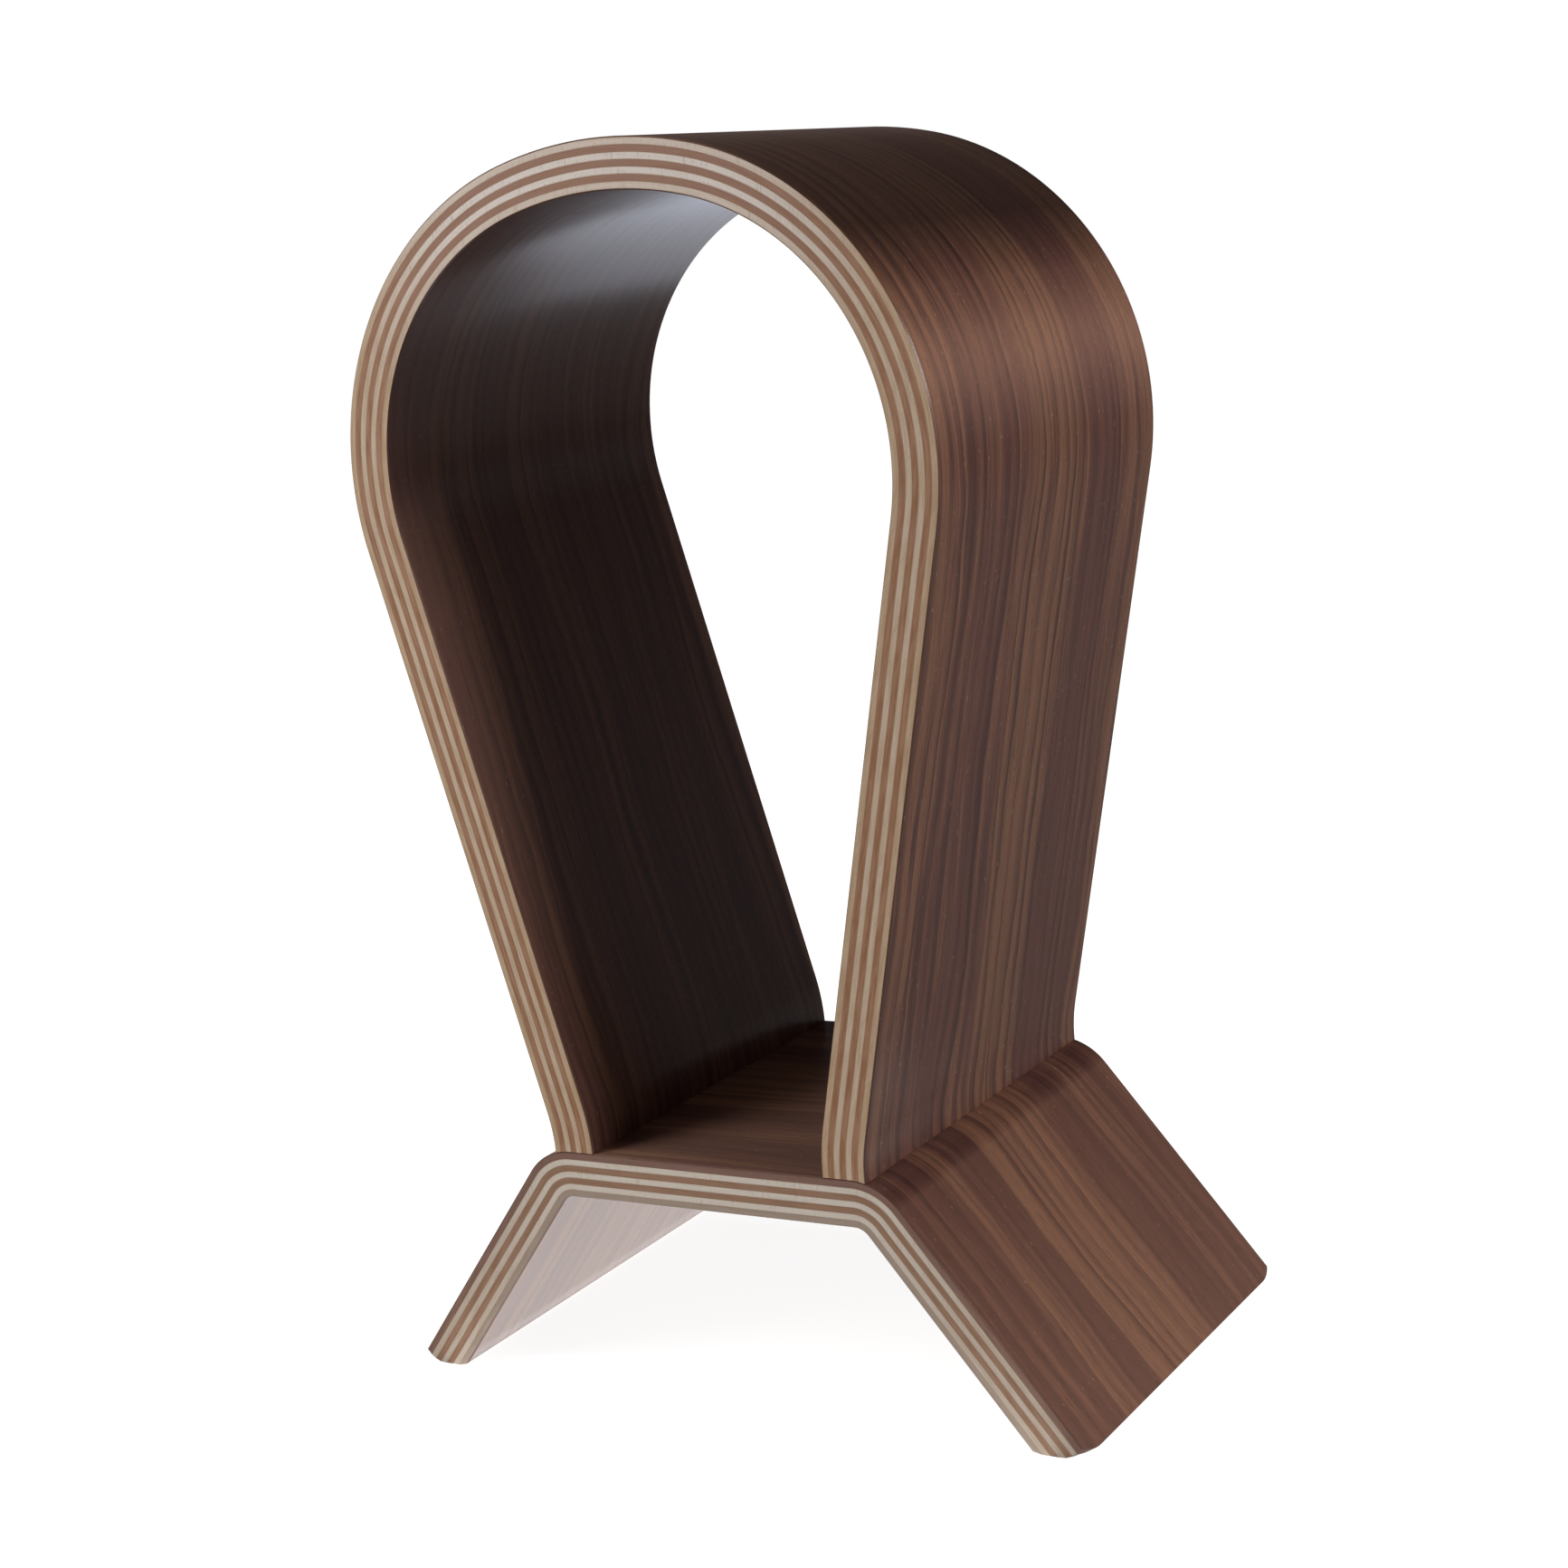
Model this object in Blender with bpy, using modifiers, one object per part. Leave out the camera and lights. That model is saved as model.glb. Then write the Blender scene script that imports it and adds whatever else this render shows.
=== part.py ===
"""Headphone stand of bent plywood: a moulded hoop standing on a moulded bridge foot.

Both mouldings are pressed from the same stock: seven core plies, laid light and dark by turns,
between two walnut face veneers. Every layer is its own solid and follows an offset of one mould
line, so the glue lines stay even round each bend. The hoop's feet are scribed to the bridge and
held by four countersunk wood screws from below.

Axes: X across the stand, Y from front to back, Z up. The feet stand on Z = 0.
"""

import math

import bmesh
import bpy

MM = 0.001

# Overall sizes
HEIGHT = 280.0 * MM
DEPTH = 106.0 * MM

# Plywood stock
VENEER = 0.25 * MM
PLY = 1.42 * MM
GLUE_LINE = 0.05 * MM
CORE_PLIES = 7

# Hoop: radii of its outer face, and how far its feet stand out past the flat of the bridge
CROWN_RADIUS = 94.4 * MM
CROWN_HALF_ANGLE = math.radians(14.9)
SHOULDER_RADIUS = 67.6 * MM
FOOT_BEND_RADIUS = 40.0 * MM
FOOT_OVERHANG = 4.1 * MM

# Bridge: the flat that carries the hoop, the inner radius of its bends and the splay of its legs
BRIDGE_HEIGHT = 57.2 * MM
BRIDGE_FLAT = 73.8 * MM
BRIDGE_MOULD_RADIUS = 4.2 * MM
LEG_SPLAY = math.radians(51.85)

# Feet of the bridge: eased heel, flat land on the desk, toe rounded up from it, corners rounded
HEEL_EASE = 0.8 * MM
FOOT_LAND = 8.7 * MM
TOE_RADIUS = 5.5 * MM
FOOT_CORNER_RADIUS = 1.5 * MM

# Countersunk wood screws, from under the bridge into the hoop's feet
SCREW_DIAMETER = 3.0 * MM
SCREW_HEAD_DIAMETER = 5.6 * MM
SCREW_LENGTH = 20.0 * MM
SCREW_TIP = 3.0 * MM
SCREW_PITCH = 62.0 * MM
SCREW_RECESS = 0.3 * MM
BORE_CLEARANCE = 0.05 * MM
SCREW_SIDES = 16

# Facets of the bends, and what the blanks are pressed oversize by before they are trimmed
HOOP_FACET = math.radians(5.2)
BRIDGE_FACET = math.radians(7.5)
TOE_FACET = math.radians(15.0)
TRIM_ALLOWANCE = 12.0 * MM
CORNER_SEGMENTS = 5

# Colours: base colour, roughness, metallic
WALNUT = ((0.105, 0.052, 0.038), 0.42, 0.0)
LIGHT_PLY = ((0.56, 0.47, 0.37), 0.6, 0.0)
DARK_PLY = ((0.27, 0.15, 0.09), 0.6, 0.0)
ZINC = ((0.62, 0.61, 0.58), 0.35, 1.0)

# Worked out from the sizes above
STOCK = 2 * VENEER + CORE_PLIES * PLY + (CORE_PLIES + 1) * GLUE_LINE
FOOT_FACE = BRIDGE_FLAT / 2 + FOOT_OVERHANG
SCREW_X = FOOT_FACE - STOCK / 2
SCREW_BASE = BRIDGE_HEIGHT - STOCK + SCREW_RECESS
FOOT_BEND_CENTRE = (FOOT_FACE + FOOT_BEND_RADIUS, BRIDGE_HEIGHT)
BRIDGE_BEND_RADIUS = BRIDGE_MOULD_RADIUS + STOCK


def clear_scene():
    for item in list(bpy.data.objects):
        bpy.data.objects.remove(item, do_unlink=True)


def new_collection(name):
    collection = bpy.data.collections.new(name)
    bpy.context.scene.collection.children.link(collection)
    return collection


def new_object(name, bm, collection):
    mesh = bpy.data.meshes.new(name)
    bm.to_mesh(mesh)
    bm.free()
    item = bpy.data.objects.new(name, mesh)
    collection.objects.link(item)
    return item


def paint(item, finish):
    colour, roughness, metallic = finish
    material = bpy.data.materials.new(item.name)
    material.use_nodes = True
    shader = material.node_tree.nodes["Principled BSDF"]
    shader.inputs["Base Color"].default_value = (*colour, 1.0)
    shader.inputs["Roughness"].default_value = roughness
    shader.inputs["Metallic"].default_value = metallic
    item.data.materials.append(material)


def arc(centre, radius, start, end, facet):
    """Points on an arc in the XZ plane; angles run from +Z towards +X."""
    steps = max(1, math.ceil(abs(end - start) / facet))
    angles = [start + (end - start) * step / steps for step in range(steps + 1)]
    return [(centre[0] + radius * math.sin(a), centre[1] + radius * math.cos(a)) for a in angles]


# Mould lines

def shoulder_centre():
    inset = CROWN_RADIUS - SHOULDER_RADIUS
    crown_centre = HEIGHT - CROWN_RADIUS
    return inset * math.sin(CROWN_HALF_ANGLE), crown_centre + inset * math.cos(CROWN_HALF_ANGLE)


def hoop_lean():
    """Lean of the hoop's legs: the line that touches the shoulder and the foot's reverse bend."""
    shoulder = shoulder_centre()
    across = FOOT_BEND_CENTRE[0] - shoulder[0]
    down = shoulder[1] - FOOT_BEND_CENTRE[1]
    touching = (SHOULDER_RADIUS + FOOT_BEND_RADIUS) / math.hypot(across, down)
    return math.atan2(down, across) - math.acos(touching)


def hoop_half_line(depth):
    """Right half of the hoop at a depth below its outer face, from the crown to below the foot."""
    lean = hoop_lean()
    crown = arc((0.0, HEIGHT - CROWN_RADIUS), CROWN_RADIUS - depth, 0.0, CROWN_HALF_ANGLE, HOOP_FACET)
    shoulder = arc(shoulder_centre(), SHOULDER_RADIUS - depth, CROWN_HALF_ANGLE, math.pi / 2 + lean, HOOP_FACET)
    bend = arc(FOOT_BEND_CENTRE, FOOT_BEND_RADIUS + depth, lean - math.pi / 2, -math.pi / 2, HOOP_FACET)
    foot = (FOOT_FACE - depth, BRIDGE_HEIGHT - TRIM_ALLOWANCE)
    return crown + shoulder[1:] + bend + [foot]


def bridge_half_line(depth):
    """Right half of the bridge at a depth below its top face, from the middle to below the floor."""
    centre = (BRIDGE_FLAT / 2, BRIDGE_HEIGHT - BRIDGE_BEND_RADIUS)
    bend = arc(centre, BRIDGE_BEND_RADIUS - depth, 0.0, LEG_SPLAY, BRIDGE_FACET)
    last_x, last_z = bend[-1]
    below = last_z + TRIM_ALLOWANCE
    toe = (last_x + below / math.tan(LEG_SPLAY), last_z - below)
    return [(0.0, BRIDGE_HEIGHT - depth)] + bend + [toe]


# Solids

def half_sheet(name, line, width, collection):
    """A half sheet along a mould line, mirrored at X = 0; its face looks away from the mould."""
    bm = bmesh.new()
    chain = [bm.verts.new((x, -width / 2, z)) for x, z in line]
    edges = [bm.edges.new(pair) for pair in zip(chain, chain[1:])]
    swept = bmesh.ops.extrude_edge_only(bm, edges=edges)["geom"]
    back = [item for item in swept if isinstance(item, bmesh.types.BMVert)]
    bmesh.ops.translate(bm, verts=back, vec=(0.0, width, 0.0))
    bm.normal_update()
    topmost = max(bm.faces, key=lambda face: face.calc_center_median().z)
    if topmost.normal.z < 0:
        bmesh.ops.reverse_faces(bm, faces=bm.faces[:])
    item = new_object(name, bm, collection)
    mirror = item.modifiers.new("other_half", "MIRROR")
    mirror.use_axis = (True, False, False)
    mirror.use_clip = True
    mirror.merge_threshold = 0.00001
    return item


def pressed_layer(name, line, width, thickness, finish, collection):
    """One layer of a moulding: the sheet on its mould line, thickened towards the mould."""
    item = half_sheet(name, line, width, collection)
    thick = item.modifiers.new("thickness", "SOLIDIFY")
    thick.thickness = thickness
    thick.offset = -1.0
    thick.use_even_offset = True
    paint(item, finish)
    return item


def prism(name, outline, width, collection):
    """A closed XZ outline swept along Y, centred on Y = 0."""
    bm = bmesh.new()
    face = bm.faces.new([bm.verts.new((x, -width / 2, z)) for x, z in outline])
    swept = bmesh.ops.extrude_face_region(bm, geom=[face])["geom"]
    back = [item for item in swept if isinstance(item, bmesh.types.BMVert)]
    bmesh.ops.translate(bm, verts=back, vec=(0.0, width, 0.0))
    bmesh.ops.recalc_face_normals(bm, faces=bm.faces[:])
    return new_object(name, bm, collection)


def mirrored(half):
    """A half outline from X = 0 outwards, completed to its mirror image."""
    return [(-x, z) for x, z in reversed(half) if x > 0] + half


def turned(name, profile, collection):
    """A solid of revolution about its own Z axis, from (radius, height) points that end on the axis."""
    bm = bmesh.new()
    chain = [bm.verts.new((radius, 0.0, height)) for radius, height in profile]
    for pair in zip(chain, chain[1:]):
        bm.edges.new(pair)
    item = new_object(name, bm, collection)
    screw = item.modifiers.new("turn", "SCREW")
    screw.axis = "Z"
    screw.steps = SCREW_SIDES
    screw.render_steps = SCREW_SIDES
    screw.use_merge_vertices = True
    screw.merge_threshold = 0.00001
    screw.use_normal_flip = True
    return item


def cut(item, cutter, operation):
    boolean = item.modifiers.new(cutter.name, "BOOLEAN")
    boolean.operation = operation
    boolean.solver = "EXACT"
    boolean.object = cutter


def as_cutter(item):
    item.hide_render = True
    item.display_type = "WIRE"
    return item


# Cutters

def make_saddle(collection):
    """What the hoop's feet are scribed to: the bridge's top face, with a glue line to spare."""
    half = bridge_half_line(-GLUE_LINE)
    outline = mirrored(half)
    return as_cutter(prism("saddle", outline, DEPTH + 2 * TRIM_ALLOWANCE, collection))


def foot_heel():
    """X where the underside of a leg meets the floor."""
    heel, toe = bridge_half_line(STOCK)[-2:]
    return heel[0] + (toe[0] - heel[0]) * heel[1] / (heel[1] - toe[1])


def make_trim_block(collection):
    """Block that the pressed bridge is trimmed to, with the shape of both feet on its underside."""
    heel = foot_heel()
    eased = heel - HEEL_EASE / math.tan(LEG_SPLAY)
    land = heel + HEEL_EASE
    toe = land + FOOT_LAND
    rise = arc((toe, TOE_RADIUS), TOE_RADIUS, math.pi, math.pi / 2, TOE_FACET)
    reach = rise[-1][0]
    top = BRIDGE_HEIGHT + TRIM_ALLOWANCE
    outline = mirrored([(eased, HEEL_EASE), (land, 0.0)] + rise + [(reach, top)])
    block = prism("trim_block", outline, DEPTH, collection)
    round_over = block.modifiers.new("corners", "BEVEL")
    round_over.width = FOOT_CORNER_RADIUS
    round_over.segments = CORNER_SEGMENTS
    round_over.limit_method = "ANGLE"
    round_over.angle_limit = math.radians(60.0)
    return as_cutter(block)


def screw_profile(clearance):
    """Countersunk screw, head down, with the same clearance all round."""
    head = SCREW_HEAD_DIAMETER / 2 + clearance
    shank = SCREW_DIAMETER / 2 + clearance
    top = SCREW_LENGTH + clearance
    return [(0.0, 0.0), (head, 0.0), (shank, head - shank), (shank, top - SCREW_TIP), (0.0, top)]


def make_bores(stand, collection):
    """The four screw holes, open at the underside of the bridge."""
    profile = screw_profile(BORE_CLEARANCE)
    mouth = [(0.0, -TRIM_ALLOWANCE), (profile[1][0], -TRIM_ALLOWANCE)]
    bores = turned("screw_bores", mouth + profile[1:], collection)
    bores.location = (SCREW_X, SCREW_PITCH / 2, SCREW_BASE)
    mirror = bores.modifiers.new("pattern", "MIRROR")
    mirror.use_axis = (True, True, False)
    mirror.mirror_object = stand
    mirror.use_mirror_merge = False
    return as_cutter(bores)


def bore_reach():
    """Least and greatest depth below the hoop's outer face that a screw hole touches in a foot."""
    radius = SCREW_DIAMETER / 2 + BORE_CLEARANCE
    shank_end = SCREW_BASE + SCREW_LENGTH + BORE_CLEARANCE - SCREW_TIP
    across = FOOT_BEND_CENTRE[0] - SCREW_X + radius
    deepest = math.hypot(across, shank_end - FOOT_BEND_CENTRE[1]) - FOOT_BEND_RADIUS
    return FOOT_FACE - SCREW_X - radius, deepest


# Assembly

def stock_layers(first_face, last_face, core_name, odd_finish, even_finish):
    """Name, depth, thickness and finish of each layer of a moulding, from its outer face inwards."""
    core = [(f"{core_name}_{n}", PLY, odd_finish if n % 2 else even_finish) for n in range(1, CORE_PLIES + 1)]
    depth = 0.0
    for name, thickness, finish in [(first_face, VENEER, WALNUT), *core, (last_face, VENEER, WALNUT)]:
        yield name, depth, thickness, finish
        depth += thickness + GLUE_LINE


def make_hoop(saddle, bores, collection):
    reach_from, reach_to = bore_reach()
    for name, depth, thickness, finish in stock_layers(
            "hoop_outer_veneer", "hoop_inner_veneer", "hoop_core_ply", LIGHT_PLY, DARK_PLY):
        layer = pressed_layer(name, hoop_half_line(depth), DEPTH, thickness, finish, collection)
        cut(layer, saddle, "DIFFERENCE")
        if depth < reach_to and depth + thickness > reach_from:
            cut(layer, bores, "DIFFERENCE")
        yield layer


def make_bridge(trim_block, bores, collection):
    blank_width = DEPTH + 2 * TRIM_ALLOWANCE
    for name, depth, thickness, finish in stock_layers(
            "bridge_top_veneer", "bridge_bottom_veneer", "bridge_core_ply", DARK_PLY, LIGHT_PLY):
        layer = pressed_layer(name, bridge_half_line(depth), blank_width, thickness, finish, collection)
        cut(layer, trim_block, "INTERSECT")
        cut(layer, bores, "DIFFERENCE")
        yield layer


def make_screws(collection):
    for side, x in (("left", -SCREW_X), ("right", SCREW_X)):
        for end, y in (("front", -SCREW_PITCH / 2), ("back", SCREW_PITCH / 2)):
            screw = turned(f"foot_screw_{side}_{end}", screw_profile(0.0), collection)
            screw.location = (x, y, SCREW_BASE)
            paint(screw, ZINC)
            yield screw


def build():
    clear_scene()
    parts = new_collection("headphone_stand")
    cutters = new_collection("cutters")
    stand = bpy.data.objects.new("stand", None)
    parts.objects.link(stand)
    saddle = make_saddle(cutters)
    trim_block = make_trim_block(cutters)
    bores = make_bores(stand, cutters)
    pieces = [*make_hoop(saddle, bores, parts), *make_bridge(trim_block, bores, parts), *make_screws(parts)]
    for piece in pieces:
        piece.parent = stand


build()
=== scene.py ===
"""Headphone stand of bent plywood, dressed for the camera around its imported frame.

A bridge foot and a hoop are pressed from the same board: seven core plies between two walnut veneers.
Every layer carries the vector "board": where each point lay on the flat board before pressing, as the
distance along it, the distance across it and the depth below its outer face, in metres. Grain, pores
and edge marks are drawn in those flat coordinates, so they follow each bend.
"""
import math

import bmesh
import bpy
from mathutils import Matrix, Vector


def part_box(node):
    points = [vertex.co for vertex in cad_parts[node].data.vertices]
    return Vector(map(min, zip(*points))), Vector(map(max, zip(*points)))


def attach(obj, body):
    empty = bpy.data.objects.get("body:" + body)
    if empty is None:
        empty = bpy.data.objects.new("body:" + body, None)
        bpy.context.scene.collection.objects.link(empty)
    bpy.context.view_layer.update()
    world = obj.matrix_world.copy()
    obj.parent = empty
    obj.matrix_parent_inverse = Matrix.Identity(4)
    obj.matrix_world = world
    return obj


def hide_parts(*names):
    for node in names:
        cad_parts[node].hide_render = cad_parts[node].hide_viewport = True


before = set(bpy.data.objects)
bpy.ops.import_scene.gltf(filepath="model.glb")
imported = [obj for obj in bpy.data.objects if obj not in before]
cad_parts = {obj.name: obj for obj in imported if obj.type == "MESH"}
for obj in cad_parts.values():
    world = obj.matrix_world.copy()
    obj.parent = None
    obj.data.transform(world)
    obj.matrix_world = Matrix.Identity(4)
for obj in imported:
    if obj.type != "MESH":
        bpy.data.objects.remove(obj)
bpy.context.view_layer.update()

# Bridge core plies
# Seven plies of birch, dark and light by turns, glued and pressed over one mould while flat sheets.
# Trimmed together after pressing: sawn feet with rounded corners, and arrises eased with fine paper.
MM = 0.001
VENEER = 0.25 * MM
PLY = 1.42 * MM
GLUE_LINE = 0.05 * MM
GLUE_SEEN = 0.01 * MM
CORE_PLIES = 7
STOCK = 2 * VENEER + CORE_PLIES * PLY + (CORE_PLIES + 1) * GLUE_LINE
EDGE_EASE = 0.4 * MM
ARRIS_ANGLE = math.radians(30.0)

board_low, board_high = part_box("bridge_top_veneer")
DEPTH = board_high.y - board_low.y
BRIDGE_HEIGHT = board_high.z
BRIDGE_FLAT = 73.8 * MM
BRIDGE_MOULD_RADIUS = 4.2 * MM
BRIDGE_BEND_RADIUS = BRIDGE_MOULD_RADIUS + STOCK
BRIDGE_FACET = math.radians(3.5)
LEG_SPLAY = math.radians(51.85)
LEG_STATIONS = (0.25, 0.5, 0.75, 0.9, 1.0)

HEEL_EASE = 0.8 * MM
FOOT_LAND = 8.7 * MM
TOE_RADIUS = 5.5 * MM
TOE_CORNER_WIDTH = 6.4 * MM
TOE_CORNER_RISE = 7.0 * MM
TOE_CORNER_START = 0.5
SAW_TOLERANCE = 0.001 * MM
CORNER_STEPS = 8
INNER_COLUMNS = 6


def arc(centre, radius, start, end, facet):
    """Points on an arc in the XZ plane; angles run from +Z towards +X."""
    steps = max(1, math.ceil(abs(end - start) / facet))
    angles = [start + (end - start) * step / steps for step in range(steps + 1)]
    return [(centre[0] + radius * math.sin(a), centre[1] + radius * math.cos(a)) for a in angles]


def between(first, last, share):
    """The point at a share of the way from one XZ point to another."""
    return first[0] + (last[0] - first[0]) * share, first[1] + (last[1] - first[1]) * share


def bridge_bend(depth):
    """The bend from the flat into the right leg, at a depth below the top face."""
    centre = (BRIDGE_FLAT / 2, BRIDGE_HEIGHT - BRIDGE_BEND_RADIUS)
    return arc(centre, BRIDGE_BEND_RADIUS - depth, 0.0, LEG_SPLAY, BRIDGE_FACET)


def sawn_height(x, y):
    """Height of a sawn foot's end over the desk: eased heel, flat land, rounded toe and corners.

    The corners lift towards the toe, from a share of the way out from the heel.
    """
    under = bridge_bend(STOCK)[-1]
    heel = under[0] + under[1] / math.tan(LEG_SPLAY)
    land = heel + HEEL_EASE
    heel_slope = HEEL_EASE / (HEEL_EASE + HEEL_EASE / math.tan(LEG_SPLAY))
    past_toe = max(0.0, x - land - FOOT_LAND)
    toe = TOE_RADIUS - math.sqrt(max(0.0, TOE_RADIUS ** 2 - past_toe ** 2))
    sawn_length = STOCK / math.sin(LEG_SPLAY)
    towards_toe = ((x - heel) / sawn_length - TOE_CORNER_START) / (1.0 - TOE_CORNER_START)
    lift = TOE_CORNER_RISE * min(1.0, max(0.0, towards_toe)) ** 2
    past_side = max(0.0, abs(y) - DEPTH / 2 + TOE_CORNER_WIDTH) / TOE_CORNER_WIDTH
    corner = lift * (1.0 - math.sqrt(max(0.0, 1.0 - past_side ** 2)))
    return max(0.0, land - x) * heel_slope + toe + corner


def leg_end(start, y):
    """Where a leg that leaves its bend at this point meets the sawn end of the foot."""
    short, long = 0.0, start[1] / math.sin(LEG_SPLAY)
    while long - short > SAW_TOLERANCE:
        middle = (short + long) / 2
        x = start[0] + middle * math.cos(LEG_SPLAY)
        z = start[1] - middle * math.sin(LEG_SPLAY)
        if z > sawn_height(x, y):
            short = middle
        else:
            long = middle
    return start[0] + long * math.cos(LEG_SPLAY), start[1] - long * math.sin(LEG_SPLAY)


def bridge_half(depth, y):
    """Right half of the bridge at a depth below its top face, from the middle to the foot."""
    level = BRIDGE_HEIGHT - depth
    bend = bridge_bend(depth)
    end = leg_end(bend[-1], y)
    leg = [between(bend[-1], end, share) for share in LEG_STATIONS]
    return [(0.0, level), (BRIDGE_FLAT / 4, level)] + bend + leg


def eased(depth):
    """How far the eased arris draws the edge of the board in at a depth."""
    near = min(depth, STOCK - depth)
    if near >= EDGE_EASE:
        return 0.0
    return EDGE_EASE - math.sqrt(max(0.0, EDGE_EASE ** 2 - (EDGE_EASE - near) ** 2))


def bridge_columns(depth):
    """Places across the board, close together at the rounded corners of the feet."""
    plain = DEPTH / 2 - TOE_CORNER_WIDTH
    turns = [math.pi / 2 * step / CORNER_STEPS for step in range(CORNER_STEPS + 1)]
    side = [plain + TOE_CORNER_WIDTH * math.sin(turn) for turn in turns]
    middle = [plain * (2 * n / INNER_COLUMNS - 1) for n in range(1, INNER_COLUMNS)]
    narrowed = (DEPTH / 2 - eased(depth)) / (DEPTH / 2)
    return [y * narrowed for y in [-y for y in reversed(side)] + middle + side]


def with_run(points):
    """Adds to each XZ point its distance along the board from the first."""
    run = 0.0
    done = [(*points[0], run)]
    for before, after in zip(points, points[1:]):
        run += math.dist(before, after)
        done.append((*after, run))
    return done


def layer_grid(bm, board, half_line, columns, depth):
    """Vertices of one face of a layer: a row along the board at each place across it."""
    grid = []
    for y in columns(depth):
        half = with_run(half_line(depth, y))
        whole = [(-x, z, -run) for x, z, run in reversed(half[1:])] + half
        row = []
        for x, z, run in whole:
            vertex = bm.verts.new((x, y, z))
            vertex[board] = (run, y, depth)
            row.append(vertex)
        grid.append(row)
    return grid


def grid_border(grid):
    """The vertices round one face of a layer, in order."""
    right = [row[-1] for row in grid[1:-1]]
    left = [row[0] for row in reversed(grid[1:-1])]
    return grid[0] + right + grid[-1][::-1] + left


def layer_object(name, half_line, columns, depth, thickness):
    """One layer of a moulding as a closed sheet, from its outer face to the next glue line."""
    bm = bmesh.new()
    board = bm.verts.layers.float_vector.new("board")
    last = depth + thickness
    if last + GLUE_LINE < STOCK:
        last += GLUE_LINE - GLUE_SEEN
    grids = [layer_grid(bm, board, half_line, columns, face) for face in (depth, last)]
    for grid in grids:
        for row, next_row in zip(grid, grid[1:]):
            for n in range(len(row) - 1):
                bm.faces.new((row[n], row[n + 1], next_row[n + 1], next_row[n]))
    outer, inner = [grid_border(grid) for grid in grids]
    for n in range(len(outer)):
        bm.faces.new((outer[n - 1], outer[n], inner[n], inner[n - 1]))
    bmesh.ops.recalc_face_normals(bm, faces=bm.faces[:])
    mesh = bpy.data.meshes.new(name)
    bm.to_mesh(mesh)
    bm.free()
    mesh.shade_smooth()
    mesh.set_sharp_from_angle(angle=ARRIS_ANGLE)
    layer = bpy.data.objects.new(name, mesh)
    bpy.context.scene.collection.objects.link(layer)
    return layer


def add_node(tree, kind, inputs=None, **settings):
    """A shader node. Inputs given as sockets are linked, and the others are set."""
    node = tree.nodes.new(kind)
    for key, value in settings.items():
        setattr(node, key, value)
    for key, value in (inputs or {}).items():
        if isinstance(value, bpy.types.NodeSocket):
            tree.links.new(value, node.inputs[key])
        else:
            node.inputs[key].default_value = value
    return node


def maths(tree, operation, *terms):
    """The result of one operation on sockets and numbers."""
    return add_node(tree, "ShaderNodeMath", dict(enumerate(terms)), operation=operation).outputs[0]


def soft_step(tree, value, low, high):
    """0 below low, 1 above high, with a smooth way between."""
    inputs = {"Value": value, "From Min": low, "From Max": high}
    node = add_node(tree, "ShaderNodeMapRange", inputs, interpolation_type="SMOOTHSTEP")
    return node.outputs["Result"]


def stretched_noise(tree, axes, lengths, detail=2.0, roughness=0.5):
    """Noise over three values, each divided by the length of its marks."""
    parts = [maths(tree, "DIVIDE", value, length) for value, length in zip(axes, lengths)]
    vector = add_node(tree, "ShaderNodeCombineXYZ", dict(enumerate(parts)))
    inputs = {"Vector": vector.outputs[0], "Scale": 1.0, "Detail": detail, "Roughness": roughness}
    return add_node(tree, "ShaderNodeTexNoise", inputs).outputs["Fac"]


def mixed(tree, share, first, second, blend="MIX"):
    """Colours first and second mixed by a share."""
    node = add_node(tree, "ShaderNodeMix", data_type="RGBA", blend_type=blend)
    for socket, value in zip((node.inputs[0], node.inputs[6], node.inputs[7]), (share, first, second)):
        if isinstance(value, bpy.types.NodeSocket):
            tree.links.new(value, socket)
        else:
            socket.default_value = value
    return node.outputs[2]


def new_group(name, inputs, outputs):
    """An empty shader group with named sockets; returns it with its input and output ends."""
    group = bpy.data.node_groups.new(name, "ShaderNodeTree")
    for label, kind in inputs:
        group.interface.new_socket(name=label, in_out="INPUT", socket_type="NodeSocket" + kind)
    for label, kind in outputs:
        group.interface.new_socket(name=label, in_out="OUTPUT", socket_type="NodeSocket" + kind)
    start = group.nodes.new("NodeGroupInput").outputs
    end = group.nodes.new("NodeGroupOutput").inputs
    return group, start, end


def board_millimetres(tree, board):
    """Along, across and depth on the flat board, in millimetres."""
    inputs = {0: board, "Scale": 1.0 / MM}
    scaled = add_node(tree, "ShaderNodeVectorMath", inputs, operation="SCALE").outputs[0]
    return add_node(tree, "ShaderNodeSeparateXYZ", {0: scaled}).outputs


# Marks on a cut edge: lengths in millimetres along, through and across the board, then fades and shares
EDGE_CLOUDS = (9.0, 1.1, 9.0)
EDGE_TICKS = (0.33, 6.0, 7.0)
EDGE_TICK_FIELDS = (9.0, 1.4, 11.0)
EDGE_SPECKS = (0.5, 0.3, 5.0)
EDGE_STREAKS = (14.0, 0.22, 9.0)
CLOUD_FADE = (0.36, 0.66)
TICK_FADE = (0.52, 0.72)
TICK_FIELD_FADE = (0.4, 0.6)
SPECK_FADE = (0.6, 0.75)
SPECK_SHARE = 0.8
STREAK_FADE = (0.45, 0.7)
GLUE_WAVER = 0.12
GLUE_FADE = (0.40, 0.58)
GLUE_SHARE = 0.75
# Painted light along the board: near its middle, where the strip lies level, a painted sheen on the pale
# plies and a painted shade on the darker ones
PAINTED_LIGHT_FADE = (30.0, 85.0)
CLOUD_RELIEF = 0.3
TICK_RELIEF = 0.4


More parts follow.
